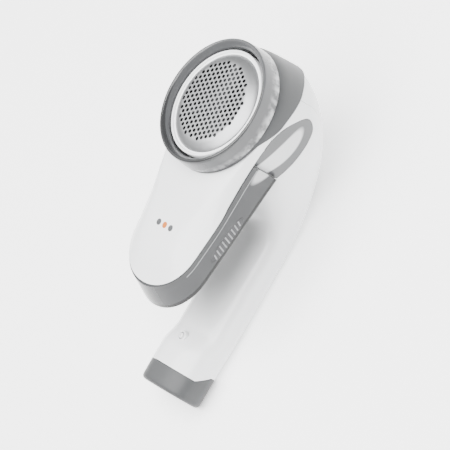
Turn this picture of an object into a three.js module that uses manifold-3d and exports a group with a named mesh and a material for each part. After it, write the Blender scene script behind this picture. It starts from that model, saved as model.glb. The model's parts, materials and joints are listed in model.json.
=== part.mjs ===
// Battery fabric shaver, a standalone three.js model in millimetres, +Z up.
//
// It lies on the back of its handle. X runs from the battery cap to the round head, Y is across,
// and the foil faces +Z. Inside this file X is counted from the cap's end face, and Z from the
// handle's rounded back before it is flattened. The last lines move the whole group so that the
// origin is under the middle of the shaver, at the height of the flat.

import * as THREE from 'three';
import { mergeVertices } from 'three/addons/utils/BufferGeometryUtils.js';
import Module from 'manifold-3d';

const wasm = await Module();
wasm.setup();

// ---------------------------------------------------------------- driving sizes

const gap = 0.3; // between pieces that touch

const head = { x: 130, radius: 33.5, wall: 3.6 };
const handle = { halfWidth: 17.1, depth: 24, wall: 1.6, power: 2.5, back: -0.33 };
const base = 1.5; // the height at which the handle's back is flattened, so that it lies still
const gripRecess = { from: 20, to: 33, depth: 3.5 };
const neck = { from: 80, seat: 46.6 }; // where the bend starts, and the height of the bin's seat
const tilt = { degrees: 2.4, z: 79.1 }; // the foil and its drive lean this much towards +X
const splitAngle = 128; // degrees from the front, where the two shells meet

const cap = { length: 10.8, tongue: 15.8, tongueHigh: 15.8, tongueLow: 7.5, wall: 1.5, round: 2.5 };
const cell = { radius: 7.1, length: 49.5, nub: 1, nubRadius: 2.7, spread: 8.2, z: 10.5, from: 13 };
const carrier = { x: 66.5, thick: 2 };
const contact = { plate: 0.6, half: 4, at: 8.7 }; // the sheet-metal contacts at the cells' ends
const springSize = { radius: 3.2, wire: 0.4, turns: 3 };

const tongue = { tip: 38.7, radius: 24.8, wall: 2 };
// the middle line of the face panel from its tip to the head, as [x, z]
const crown = [[39, 62.2], [50, 64.7], [62, 66.4], [78, 67.6], [97, 69.2], [130, 68], [165, 66.5]];
const bin = { tip: 32.4, wall: 0.9, floor: 1.8, back: 112.7, backWall: 1.7 };
const fingerRibs = { from: 66, pitch: 3.5, count: 6, radius: 0.7, bottom: 49.5, top: 54.5 };
const seamGap = 0.7; // room above the bin's rim, so that it slides out under the face panel
// the seam under the face panel from its tip to the head, as [x, z]
const rim = [[20, 60.6], [76, 60.6], [91, 61.7], [102, 62.7], [112, 63.4], [121, 63.9], [127.5, 63.8]];
// the rest of a side insert's outline, round its tip and back along its lower edge
const insertTip = [
  [134.3, 60.8], [140.4, 55.1], [144.3, 49.6], [144.4, 45.9], [141.6, 43.6], [136, 43.6], [128, 44.6],
  [120.7, 45.4],
];
const insert = { deep: 1.8, thick: 1.2 };

const collar = { wall: 1.8, over: 0.1, flare: 0.4, taper: 0.9, top: 69.5, flange: 1 };
// the collar's lower edge from the front of the head round to its far end, as [x, z]
const collarEdge = [
  [80, 70.6], [97, 69.9], [111.7, 69.3], [117, 69.1], [121.8, 68.2], [127.6, 65.5], [133.3, 62.8],
  [139.6, 60.6], [145.7, 57.9], [150.7, 55.5], [155.6, 53.3], [160.1, 50.6], [162.5, 48], [164, 46],
  [166, 43.5],
];

const housing = { radius: 24.4, wall: 1.5, floor: 64, thick: 1.6, top: 75.2, flange: 28.3 };
const outlet = { from: 107.5, to: 112.4, halfWidth: 9 };
const motor = { radius: 12, length: 25.7, top: 63.4, shaft: 1, bell: 3.4 };
const cutter = { bottom: 69.5, top: 74.9, hub: 5.5, radius: 19.6, bladeFrom: 3.2, bladeTop: 78.9, blades: 3 };
const foil = { top: 79.8, thick: 0.5, flat: 20.8, rimRadius: 25.1, rimZ: 76.1 };
const foilHoles = { radius: 1.9, pitch: 7.4, rings: 2 };
const foilRing = { inner: 25.4, outer: 27.6, bottom: 70, top: 76.5, notch: 1.6, notchAt: 60 };
const netCover = { outer: 32.2, flare: 0.6, inner: 30.2, rim: 29, top: 80.2, lip: 3.9, ribs: 12 };

const screw = { head: 2.2, shank: 1, pilot: 1.3 };
const gripScrew = { x: 26.6, head: 1.6, recess: 1.9, floor: 20, boss: 2, webTop: 14.6, length: 4.4 };
const neckScrew = { x: 76, recess: 2.6, floor: 3.1, boss: 3, length: 12 };
const housingScrews = { radius: 26.3, angles: [0, 100, -100], head: 1.6, boss: 2, length: 6 };
const motorScrews = { radius: 8, head: 1.8, length: 4.5 };

const slider = { at: 0.3, travel: 5, length: 10, width: 8, proud: 1.4, stem: 4 };
const switchBox = { length: 15, width: 8, high: 5.5 };
const wire = 0.65; // radius of the internal leads

// ---------------------------------------------------------------- materials

const white = { color: 0xf1f2f3, roughness: 0.25, metalness: 0 };
const grey = { color: 0x838485, roughness: 0.45, metalness: 0 };
const smoke = { color: 0x8c8d8e, roughness: 0.15, metalness: 0 };
const steel = { color: 0xd2d4d6, roughness: 0.25, metalness: 1 };
const darkPlastic = { color: 0x3a3b3d, roughness: 0.55, metalness: 0 };
const copper = { color: 0xc07a48, roughness: 0.35, metalness: 1 };
const red = { color: 0xb02a20, roughness: 0.5, metalness: 0 };
const black = { color: 0x222222, roughness: 0.5, metalness: 0 };

// ---------------------------------------------------------------- helpers

const shaver = new THREE.Group();
const big = 200;
const mix = (a, b, t) => a + (b - a) * t;
const smoothstep = (t) => THREE.MathUtils.smoothstep(t, 0, 1);
const radians = THREE.MathUtils.degToRad;

// A closed geometry as a solid, whichever way round its outline was drawn.
function solid(geometry) {
  const bare = geometry.clone();
  bare.deleteAttribute('normal');
  bare.deleteAttribute('uv');
  const merged = mergeVertices(bare, 1e-4);
  const at = merged.attributes.position;
  const corners = merged.index.array;
  const [a, b, c] = [new THREE.Vector3(), new THREE.Vector3(), new THREE.Vector3()];
  const kept = [];
  let volume = 0;
  for (let i = 0; i < corners.length; i += 3) {
    const [p, q, r] = [corners[i], corners[i + 1], corners[i + 2]];
    if (p === q || q === r || r === p) continue;
    kept.push(p, q, r);
    a.fromBufferAttribute(at, p);
    b.fromBufferAttribute(at, q);
    c.fromBufferAttribute(at, r);
    volume += a.dot(b.cross(c));
  }
  if (volume < 0) kept.reverse();
  const mesh = new wasm.Mesh({
    numProp: 3,
    vertProperties: new Float32Array(at.array),
    triVerts: new Uint32Array(kept),
  });
  return new wasm.Manifold(mesh);
}

function geometryOf(manifold) {
  const { vertProperties, triVerts } = manifold.getMesh();
  const geometry = new THREE.BufferGeometry();
  geometry.setAttribute('position', new THREE.BufferAttribute(vertProperties, 3));
  geometry.setIndex(new THREE.BufferAttribute(triVerts, 1));
  geometry.computeVertexNormals();
  return geometry;
}

function add(name, shape, material) {
  const mesh = new THREE.Mesh(geometryOf(shape), new THREE.MeshStandardMaterial(material));
  mesh.name = name;
  shaver.add(mesh);
}

function box(from, to) {
  const size = to.map((value, axis) => value - from[axis]);
  const middle = to.map((value, axis) => (value + from[axis]) / 2);
  return solid(new THREE.BoxGeometry(...size).translate(...middle));
}

// A profile of [radius, z] turned about a vertical axis.
function turned(profile, x = head.x, y = 0, segments = 40) {
  const points = profile.map(([radius, z]) => new THREE.Vector2(radius, z));
  const geometry = new THREE.LatheGeometry(points, segments).rotateX(Math.PI / 2);
  return solid(geometry.translate(x, y, 0));
}

function cylinder(radius, from, to, x = head.x, y = 0, segments = 40) {
  return turned([[0, from], [radius, from], [radius, to], [0, to]], x, y, segments);
}

function ringOf(inner, outer, from, to) {
  return turned([[inner, from], [outer, from], [outer, to], [inner, to], [inner, from]]);
}

// A profile of [radius, x] turned about an axis along X.
function turnedAlongX(profile, y, z, segments = 24) {
  const points = profile.map(([radius, x]) => new THREE.Vector2(radius, x));
  const geometry = new THREE.LatheGeometry(points, segments).rotateZ(-Math.PI / 2);
  return solid(geometry.translate(0, y, z));
}

// A side outline of [x, z] pushed through the whole width, or from y to y.
function sideCut(outline, from = -big / 2, to = big / 2) {
  const shape = new THREE.Shape(outline.map(([x, z]) => new THREE.Vector2(x, z)));
  const geometry = new THREE.ExtrudeGeometry(shape, { depth: to - from, bevelEnabled: false });
  return solid(geometry.rotateX(Math.PI / 2).translate(0, to, 0));
}

// Rings of equally many points joined into a skin. Each end is closed by a ladder of quads
// between the first and the second half of its ring.
function loft(rings) {
  const count = rings[0].length;
  const positions = rings.flat().flatMap((point) => [point.x, point.y, point.z]);
  const triangles = [];
  for (let k = 0; k + 1 < rings.length; k += 1) {
    for (let i = 0; i < count; i += 1) {
      const a = k * count + i;
      const b = k * count + ((i + 1) % count);
      triangles.push(a, b, b + count, a, b + count, a + count);
    }
  }
  const last = (rings.length - 1) * count;
  for (let i = 0; i < count / 2 - 1; i += 1) {
    const j = count - 1 - i;
    triangles.push(i, j, i + 1, j, j - 1, i + 1);
    triangles.push(last + i, last + i + 1, last + j, last + j, last + i + 1, last + j - 1);
  }
  const geometry = new THREE.BufferGeometry();
  geometry.setAttribute('position', new THREE.Float32BufferAttribute(positions, 3));
  geometry.setIndex(triangles);
  return solid(geometry);
}

function tube(points, radius, closedSides, steps) {
  const section = new THREE.Shape().absarc(0, 0, radius, 0, 2 * Math.PI);
  const path = new THREE.CatmullRomCurve3(points.map((point) => new THREE.Vector3(...point)));
  const options = { extrudePath: path, steps, curveSegments: closedSides / 2, bevelEnabled: false };
  return solid(new THREE.ExtrudeGeometry(section, options));
}

// A coil spring along +Z from the given foot.
function coil(radius, wireRadius, from, to, turns, x, y) {
  const points = [];
  for (let k = 0; k <= turns * 8; k += 1) {
    const angle = (k / 8) * 2 * Math.PI;
    const z = mix(from + wireRadius, to - wireRadius, k / (turns * 8));
    points.push([x + radius * Math.cos(angle), y + radius * Math.sin(angle), z]);
  }
  return tube(points, wireRadius, 6, turns * 8);
}

const turnToX = (shape, x, y, z) => shape.rotate([0, 90, 0]).translate([x, y, z]);

// The foil, the cutter and the motor are drawn upright and then leant together with the head.
function leant(shape) {
  return shape.translate([-head.x, 0, -tilt.z]).rotate([0, tilt.degrees, 0]).translate([head.x, 0, tilt.z]);
}

// ---------------------------------------------------------------- handle and neck

const outerRail = new THREE.CubicBezierCurve(
  new THREE.Vector2(neck.from, handle.back),
  new THREE.Vector2(neck.from + 40, handle.back),
  new THREE.Vector2(head.x + head.radius - 6, neck.seat - 22),
  new THREE.Vector2(head.x + head.radius, neck.seat),
);
const gripFront = handle.depth - gripRecess.depth;
const innerRail = new THREE.CubicBezierCurve(
  new THREE.Vector2(neck.from, gripFront),
  new THREE.Vector2(neck.from + 10.5, gripFront),
  new THREE.Vector2(head.x - head.radius - 0.2, neck.seat - 16.6),
  new THREE.Vector2(head.x - head.radius, neck.seat),
);

// A station across the body: its two rail points, half width, wall and how square it is.
function handleStation(x) {
  const dip = smoothstep((x - gripRecess.from) / (gripRecess.to - gripRecess.from));
  return {
    outer: new THREE.Vector2(x, handle.back),
    inner: new THREE.Vector2(x, handle.depth - gripRecess.depth * dip),
    halfWidth: handle.halfWidth,
    wall: handle.wall,
    power: handle.power,
  };
}

function neckStation(s) {
  const blend = smoothstep(s) ** 1.4;
  return {
    outer: outerRail.getPoint(s),
    inner: innerRail.getPoint(s),
    halfWidth: mix(handle.halfWidth, head.radius, blend),
    wall: mix(handle.wall, head.wall, blend),
    power: mix(handle.power, 2, blend),
  };
}

function headStation(z) {
  const station = neckStation(1);
  station.outer.y = z;
  station.inner.y = z;
  return station;
}

// The point of a station at an angle from its front, with the section drawn in by inset.
function sectionPoint(station, angle, inset) {
  const { outer, inner, halfWidth, power } = station;
  const toFront = inner.clone().sub(outer);
  const halfDepth = toFront.length() / 2;
  toFront.normalize();
  const round = (value) => Math.sign(value) * Math.abs(value) ** (2 / power);
  const u = (halfDepth - inset) * round(Math.cos(angle));
  const middle = inner.clone().add(outer).multiplyScalar(0.5).addScaledVector(toFront, u);
  const y = (halfWidth - inset) * round(Math.sin(angle));
  return new THREE.Vector3(middle.x, y, Math.max(middle.y, base + inset));
}

function fullRing(station, inset, count = 40) {
  const angles = Array.from({ length: count }, (_, i) => (i / count) * 2 * Math.PI);
  return angles.map((angle) => sectionPoint(station, angle, inset));
}

// One wall of the body between two angles, hollow behind its wall.
function bodyWall(stations, from, to, count) {
  const angles = Array.from({ length: count + 1 }, (_, i) => radians(mix(from, to, i / count)));
  return loft(stations.map((station) => {
    const skin = angles.map((angle) => sectionPoint(station, angle, 0));
    const back = angles.map((angle) => sectionPoint(station, angle, station.wall));
    return [...skin, ...back.reverse()];
  }));
}

const recessSteps = [0, 0.25, 0.5, 0.75, 1];
const recessXs = recessSteps.map((step) => mix(gripRecess.from, gripRecess.to, step));
const handleXs = [cap.length + gap, ...recessXs, carrier.x - 4];
const stations = [
  ...handleXs.map(handleStation),
  ...Array.from({ length: 12 }, (_, k) => neckStation(k / 11)),
  headStation(collar.top),
];
const splitGap = 0.6; // degrees either side of the split
const frontWall = bodyWall(stations, -splitAngle + splitGap, splitAngle - splitGap, 20);
const rearWall = bodyWall(stations, splitAngle + splitGap, 360 - splitAngle - splitGap, 10);

// The region below the seam of the face panel, and the region above the collar's edge.
const curved = (points, steps) => new THREE.SplineCurve(points.map(([x, z]) => new THREE.Vector2(x, z)))
  .getPoints(steps).map((point) => [point.x, point.y]);
const raised = (points, by) => points.map(([x, z]) => [x, z + by]);
const seam = curved(rim, 12);
const belowSeam = (by) => sideCut([
  [0, 0], [0, rim[0][1] + by], ...raised(seam, by), [head.x + 0.2, rim.at(-1)[1] + by], [head.x + 0.2, 0],
]);
const collarLine = curved(collarEdge, 28);
const aboveCollarEdge = sideCut([...raised(collarLine, -gap), [big, 100], [80, 100]]);
const insideSpigot = cylinder(head.radius - collar.wall - gap, 0, 100, head.x, 0, 48);
const collarRoom = aboveCollarEdge.subtract(insideSpigot);
const underFlange = leant(cylinder(big, -big, collar.top - collar.flange - gap));
const housingRoom = leant(cylinder(housing.flange + gap, housing.floor - gap, 120));
const motorRoom = leant(cylinder(motor.radius + gap, 20, 70));
const tongueSlot = sideCut([
  [0, cap.tongueHigh + gap], [cap.length + gap, cap.tongueHigh + gap],
  [cap.tongue + gap, cap.tongueLow + gap], [cap.tongue + gap, -5], [0, -5],
]);

// The leaf-shaped side insert, grown by a clearance all round.
const leafBack = bin.back + 2 * gap;
const leafCurve = curved([...rim.slice(5), ...insertTip], 26);
const leafLine = [[leafBack, rim[4][1]], ...leafCurve, [leafBack, neck.seat - 0.6]];
function leaf(grow) {
  const middle = new THREE.Vector2(127, 54);
  return sideCut(leafLine.map(([x, z]) => {
    const out = new THREE.Vector2(x, z).sub(middle).normalize().multiplyScalar(grow);
    return [x + out.x, z + out.y];
  }));
}
const insertFloor = cylinder(head.radius - insert.deep, 0, 100, head.x, 0, 48);
const insertPocket = leaf(gap).subtract(insertFloor);

function screwPlace(angle) {
  const turn = radians(angle);
  return [head.x + housingScrews.radius * Math.cos(turn), housingScrews.radius * Math.sin(turn)];
}
const seatZ = housing.floor - gap;
const housingBoss = (x, y) => leant(cylinder(housingScrews.boss, seatZ - 7, seatZ, x, y, 16));
const housingPilot = (x, y) => leant(cylinder(screw.pilot, seatZ - 6.4, seatZ + 2, x, y, 12));
const ledge = leant(ringOf(housing.radius - 1, head.radius - 2, seatZ - 2, seatZ))
  .intersect(cylinder(head.radius - head.wall + 0.4, 0, 100));
const ledgeSplit = head.x - head.radius * Math.cos(radians(splitAngle)) * 0.9;

// ---------------------------------------------------------------- front shell

const deck = { thick: 2, top: neck.seat };
const bulkhead = { from: bin.back + gap, thick: 2 };
const headRoom = cylinder(head.radius - head.wall + 0.4, 0, 100);
const deckBottom = deck.top - deck.thick;
const deckPlate = box([0, -big, deckBottom], [bulkhead.from + 1, big, deck.top]).intersect(headRoom);
const bulkheadTo = bulkhead.from + bulkhead.thick;
const bulkheadPlate = box([bulkhead.from, -big, deckBottom], [bulkheadTo, big, seatZ]).intersect(headRoom);
const binRoom = box([0, -big, deck.top], [bulkhead.from, big, big]);
const panelRoom = box([0, -big, 0], [head.x + gap / 2, big, big]).subtract(belowSeam(0.3));
const neckBoss = cylinder(neckScrew.boss, 9.5, gripFront - 1, neckScrew.x, 0, 16)
  .subtract(cylinder(screw.pilot, 0, 16, neckScrew.x, 0, 12));
const gripTop = gripFront + gripRecess.depth - 0.6;
const gripSeat = cylinder(gripScrew.recess + 1, gripScrew.floor - 1.2, gripTop, gripScrew.x, 0, 20);
let frontShell = frontWall.subtract(binRoom).add(deckPlate).add(bulkheadPlate)
  .add(ledge.intersect(box([bulkhead.from, -big, 0], [ledgeSplit - gap, big, big])));
housingScrews.angles.slice(1).forEach((angle) => {
  const [x, y] = screwPlace(angle);
  frontShell = frontShell.add(housingBoss(x, y)).subtract(housingPilot(x, y));
});
frontShell = frontShell.add(neckBoss).add(gripSeat)
  .subtract(cylinder(gripScrew.recess, gripScrew.floor, 30, gripScrew.x, 0, 20))
  .subtract(cylinder(screw.pilot, 0, 30, gripScrew.x, 0, 12))
  .subtract(motorRoom).subtract(insertPocket).subtract(panelRoom).subtract(collarRoom)
  .intersect(underFlange).subtract(housingRoom).subtract(tongueSlot);
add('front_shell', frontShell, white);

// ---------------------------------------------------------------- rear shell

const web = box([20, -0.8, base + 0.4], [32, 0.8, gripScrew.webTop]);
const gripBossTop = gripScrew.floor - 1.2 - gap;
const gripBoss = cylinder(gripScrew.boss, gripScrew.webTop - 0.1, gripBossTop, gripScrew.x, 0, 16);
const rearScrew = screwPlace(0);
let rearShell = rearWall.add(web).add(gripBoss)
  .subtract(cylinder(screw.pilot, gripScrew.webTop, 30, gripScrew.x, 0, 12))
  .add(cylinder(neckScrew.recess + 1.4, base + 0.4, neckScrew.floor + 1.4, neckScrew.x, 0, 20))
  .subtract(cylinder(neckScrew.recess, -5, neckScrew.floor, neckScrew.x, 0, 20))
  .subtract(cylinder(screw.pilot, -5, 20, neckScrew.x, 0, 12))
  .add(ledge.intersect(box([ledgeSplit + gap, -big, 0], [big, big, big])))
  .add(housingBoss(...rearScrew).intersect(headRoom)).subtract(housingPilot(...rearScrew))
  .subtract(collarRoom).intersect(underFlange).subtract(housingRoom).subtract(tongueSlot);

// the slide switch sits on the back of the neck, so its pieces are drawn flat and then tilted
const sliderPoint = outerRail.getPoint(slider.at);
const sliderTilt = THREE.MathUtils.radToDeg(outerRail.getTangent(slider.at).angle());
const onNeck = (shape) => shape.rotate([0, -sliderTilt, 0]).translate([sliderPoint.x, 0, sliderPoint.y]);
const slotHalf = slider.stem / 2 + gap;
const slot = box([-slotHalf, -slotHalf, -3], [slotHalf + slider.travel, slotHalf, 5]);
rearShell = rearShell.subtract(onNeck(slot));
add('rear_shell', rearShell, white);

const pad = box(
  [-slider.length / 2, -slider.width / 2, -slider.proud], [slider.length / 2, slider.width / 2, -gap],
);
const stem = box([-slider.stem / 2, -slider.stem / 2, -gap - 0.1], [slider.stem / 2, slider.stem / 2, 3.6]);
const grips = [-2.4, 0, 2.4].map((x) => box(
  [x - 0.5, -slider.width / 2 + 1, -slider.proud - 0.5], [x + 0.5, slider.width / 2 - 1, -slider.proud + 0.1],
));
add('switch_knob', onNeck(grips.reduce((sum, grip) => sum.add(grip), pad.add(stem))), grey);
const switchFrom = 4.2;
const switchSlot = box([-slotHalf, -slotHalf, 0], [slotHalf + slider.travel, slotHalf, switchFrom + 0.8]);
const switchCase = box(
  [-switchBox.length / 2 + slider.travel / 2, -switchBox.width / 2, switchFrom],
  [switchBox.length / 2 + slider.travel / 2, switchBox.width / 2, switchFrom + switchBox.high],
);
add('switch_body', onNeck(switchCase.subtract(switchSlot)), darkPlastic);

// ---------------------------------------------------------------- face panel, bin and inserts

// The outline of the front prong: a small tip circle and the head circle with their tangents.
function prongRing(tip, inset, headInset, height, count = 12) {
  const middle = tip + tongue.radius;
  const [small, large] = [tongue.radius - inset, head.radius - headInset];
  const lean = Math.asin((large - small) / (head.x - middle));
  const arc = (x, radius, from, to) => Array.from({ length: count + 1 }, (_, k) => {
    const angle = mix(from, to, k / count);
    return [x + radius * Math.cos(angle), radius * Math.sin(angle)];
  });
  const side = [
    ...arc(middle, small, Math.PI, Math.PI / 2 + lean),
    ...arc(head.x, large, Math.PI / 2 + lean, 0),
  ];
  const back = side.slice(1, -1).reverse().map(([x, y]) => [x, -y]);
  return [...side, ...back].map(([x, y]) => new THREE.Vector3(x, y, height(x)));
}

const crownLine = curved(crown, 60);
function crownAt(x) {
  const k = Math.max(1, crownLine.findIndex(([at]) => at >= x));
  const [[x0, z0], [x1, z1]] = [crownLine[k - 1], crownLine[k]];
  return mix(z0, z1, (x - x0) / (x1 - x0));
}
// how far the panel's skin has come in and up, from its edge to its crown
const panelSteps = [[0, 0.06], [1.2, 0.2], [2.6, 0.35], [4.5, 0.52], [7.5, 0.72], [11, 0.88], [16, 0.98]];
const rimBase = rim[0][1];
function panelSkin(inset, drop) {
  const base = () => rimBase - 2 - 2 * drop;
  return loft([
    prongRing(tongue.tip, inset, inset, base),
    ...panelSteps.map(([step, share]) => prongRing(
      tongue.tip, step + inset, inset + step * 0.04, (x) => mix(rimBase, crownAt(x), share) - drop,
    )),
  ]);
}
const facePanel = panelSkin(0, 0).subtract(panelSkin(tongue.wall, tongue.wall))
  .subtract(belowSeam(seamGap)).intersect(underFlange)
  .subtract(aboveCollarEdge)
  .subtract(box([head.x - gap / 2, -big, 0], [big, big, big]))
  .subtract(leant(cylinder(housing.flange + gap, 0, big)));
add('face_panel', facePanel, white);

const binBottom = neck.seat + gap;
function binRing(inset, z) {
  const along = (z - binBottom) / (rimBase - binBottom);
  return prongRing(mix(bin.tip, tongue.tip, Math.min(along, 1)), inset, inset, () => z);
}
const beforeBack = box([0, -big, 0], [bin.back, big, big]);
const binSkin = loft([binRing(1.1, binBottom), binRing(0.3, binBottom + 0.7), binRing(0, binBottom + 2),
  binRing(0, rimBase), binRing(0, 70)]).intersect(belowSeam(0)).intersect(beforeBack);
const binHollow = loft([binRing(bin.wall + 0.9, binBottom + bin.floor),
  binRing(bin.wall, binBottom + bin.floor + 1), binRing(bin.wall, rimBase), binRing(bin.wall, 75)])
  .intersect(box([0, -big, 0], [bin.back - bin.backWall, big, big]));
// only the thin flanks rise with the seam: the end wall stays low enough to pass under the panel
const aboveEndWall = loft([binRing(bin.wall, rimBase - gap), binRing(bin.wall, 75)]);
let lintBin = binSkin.subtract(binHollow).subtract(aboveEndWall);
// upright finger ribs on each side, near the back edge
const flankSlope = (head.radius - tongue.radius) / (head.x - tongue.tip - tongue.radius);
for (let k = 0; k < fingerRibs.count; k += 1) {
  const x = fingerRibs.from + k * fingerRibs.pitch;
  const along = x - tongue.tip - tongue.radius;
  const flankY = (tongue.radius + along * flankSlope) / Math.cos(Math.asin(flankSlope));
  const wallY = flankY - fingerRibs.radius / 2;
  [-wallY, wallY].forEach((y) => {
    lintBin = lintBin.add(cylinder(fingerRibs.radius, fingerRibs.bottom, fingerRibs.top, x, y, 8));
  });
}
add('lint_bin', lintBin, smoke);

const insertRing = ringOf(head.radius - insert.thick, head.radius, 0, 100).intersect(leaf(0));
add('side_insert_right', insertRing.intersect(box([0, -big, 0], [big, 0, big])), smoke);
add('side_insert_left', insertRing.intersect(box([0, 0, 0], [big, big, big])), smoke);

// ---------------------------------------------------------------- collar, net cover and foil

// how far the collar stands out at each height, with the flare on the far side only
const collarLevels = [[40, collar.flare], [58, collar.flare / 2], [64, 0], [collar.top + 3, -collar.taper]];
const collarSides = 56;
const collarSkin = loft(collarLevels.map(([z, out]) => Array.from({ length: collarSides }, (_, i) => {
  const turn = (i / collarSides) * 2 * Math.PI;
  const radius = head.radius + collar.over + out;
  return new THREE.Vector3(head.x + Math.max(out, 0) + radius * Math.cos(turn), radius * Math.sin(turn), z);
})));
const headCollar = collarSkin.intersect(leant(cylinder(big, -big, collar.top)))
  .subtract(cylinder(head.radius - collar.wall, 0, 100, head.x, 0, 48)
    .intersect(leant(cylinder(big, -big, collar.top - collar.flange))))
  .subtract(leant(cylinder(housing.flange + gap, 0, big)))
  .intersect(sideCut([...collarLine, [big, 100], [80, 100]]));
add('head_collar', headCollar, grey);

const { outer, flare, inner, rim: rimRadius, top, lip, ribs } = netCover;
const coverBottom = collar.top + gap;
let cover = turned([
  [inner, coverBottom], [outer + flare, coverBottom], [outer + 0.2, top - 0.6], [outer - 0.3, top],
  [outer - 1, top - 0.3], [rimRadius, top - lip], [rimRadius, top - lip - 1], [inner, top - lip - 1.2],
  [inner, coverBottom],
], head.x, 0, 48);
for (let k = 0; k < ribs; k += 1) {
  const rib = box([inner - 1, -0.7, coverBottom], [inner + 0.5, 0.7, top - lip - 1.1]);
  cover = cover.add(rib.rotate([0, 0, (k / ribs) * 360]).translate([head.x, 0, 0]));
}
add('net_cover', leant(cover), smoke);

const notch = box([foilRing.inner - 1, -3, foilRing.top - foilRing.notch], [foilRing.outer + 1, 3, big])
  .rotate([0, 0, foilRing.notchAt]).translate([head.x, 0, 0]);
const ringBody = ringOf(foilRing.inner, foilRing.outer, foilRing.bottom, foilRing.top);
add('foil_ring', leant(ringBody.subtract(notch)), white);

const under = foil.top - foil.thick;
let mesh = turned([
  [0, under], [foil.flat - 0.3, under], [foil.rimRadius - 0.4, foil.rimZ], [foil.rimRadius, foil.rimZ],
  [foil.rimRadius, foil.rimZ + 0.4], [foil.flat, foil.top], [0, foil.top],
], head.x, 0, 40);
for (let ring = 0; ring <= foilHoles.rings; ring += 1) {
  const holes = Math.max(1, ring * 6);
  for (let k = 0; k < holes; k += 1) {
    const angle = (k / holes) * 2 * Math.PI;
    const [x, y] = [foilHoles.pitch * ring * Math.cos(angle), foilHoles.pitch * ring * Math.sin(angle)];
    mesh = mesh.subtract(cylinder(foilHoles.radius, under - 1, foil.top + 1, head.x + x, y, 6));
  }
}
add('foil', leant(mesh), steel);

// ---------------------------------------------------------------- cutter and its housing

const housingInner = housing.radius - housing.wall;
const floorTop = housing.floor + housing.thick;
let cup = turned([
  [motor.shaft + 3, housing.floor], [housing.flange, housing.floor], [housing.flange, floorTop],
  [housing.radius, floorTop], [housing.radius, housing.top], [housingInner, housing.top],
  [housingInner, floorTop], [motor.shaft + 3, floorTop], [motor.shaft + 3, housing.floor],
], head.x, 0, 40);
cup = cup.subtract(box([outlet.from, -outlet.halfWidth, 0], [outlet.to, outlet.halfWidth, floorTop + 4]));
housingScrews.angles.forEach((angle) => {
  const [x, y] = screwPlace(angle);
  cup = cup.subtract(cylinder(screw.pilot, 0, floorTop + 1, x, y, 12));
});
const motorScrewYs = [-motorScrews.radius, motorScrews.radius];
motorScrewYs.forEach((y) => {
  cup = cup.subtract(cylinder(screw.pilot, 0, floorTop + 1, head.x, y, 12));
});
add('cutter_housing', leant(cup), grey);

const caseBottom = motor.top - motor.length;
let motorCase = turned([
  [0, caseBottom], [motor.radius - 0.6, caseBottom], [motor.radius, caseBottom + 0.6],
  [motor.radius, motor.top - 1], [motor.radius - 1, motor.top], [0, motor.top],
], head.x, 0, 28);
motorCase = motorCase.subtract(cylinder(motor.shaft + gap, motor.top - 8, big, head.x, 0, 12));
motorScrewYs.forEach((y) => {
  motorCase = motorCase.subtract(cylinder(screw.pilot, motor.top - 4, big, head.x, y, 12));
});
add('motor_case', leant(motorCase), steel);
const bellTop = caseBottom - gap;
const bell = cylinder(motor.radius - 1, bellTop - motor.bell, bellTop, head.x, 0, 28);
add('motor_end_bell', leant(bell), darkPlastic);
const lugTop = bellTop - motor.bell - gap;
const lug = (y) => box([head.x - 1.2, y - 0.3, lugTop - 3.2], [head.x + 1.2, y + 0.3, lugTop]);
add('motor_terminal_pos', leant(lug(6)), copper);
add('motor_terminal_neg', leant(lug(-6)), copper);
add('motor_shaft', leant(cylinder(motor.shaft, motor.top - 7.5, cutter.top - 1.2, head.x, 0, 12)), steel);

let hub = cylinder(cutter.hub, cutter.bottom, cutter.top, head.x, 0, 24);
const vaneOf = (turn) => box([cutter.hub - 1, -0.6, cutter.bottom], [17.5, 0.6, cutter.top - 1.8])
  .rotate([0, 0, turn]).translate([head.x, 0, 0]);
const armOf = (turn) => box([cutter.hub - 1, -2, cutter.top - 1.9], [18.5, 2, cutter.top])
  .rotate([0, 0, turn]).translate([head.x, 0, 0]);
for (let k = 0; k < cutter.blades; k += 1) {
  const turn = (k / cutter.blades) * 360;
  hub = hub.add(armOf(turn)).add(vaneOf(turn));
}
hub = hub.subtract(cylinder(motor.shaft + gap, 0, cutter.top - 0.8, head.x, 0, 12));
add('cutter_hub', leant(hub), darkPlastic);
for (let k = 0; k < cutter.blades; k += 1) {
  const lean = 0.9; // how far a blade leans forward over its height, either side of its arm
  const section = [
    [-lean - 0.4, cutter.top + gap], [-lean + 1.4, cutter.top + gap],
    [lean + 0.4, cutter.bladeTop], [lean - 0.2, cutter.bladeTop],
  ];
  const shape = new THREE.Shape(section.map(([y, z]) => new THREE.Vector2(y, z)));
  const length = cutter.radius - cutter.bladeFrom - 0.2;
  const geometry = new THREE.ExtrudeGeometry(shape, { depth: length, bevelEnabled: false });
  geometry.rotateX(Math.PI / 2).rotateZ(Math.PI / 2).translate(cutter.bladeFrom, 0, 0);
  const turn = (k / cutter.blades) * 360;
  add(`blade_${k + 1}`, leant(solid(geometry).rotate([0, 0, turn]).translate([head.x, 0, 0])), steel);
}
add('cutter_spring', leant(coil(2.4, 0.35, floorTop + 0.2, cutter.bottom - gap, 3, head.x, 0)), steel);

// ---------------------------------------------------------------- screws

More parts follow.
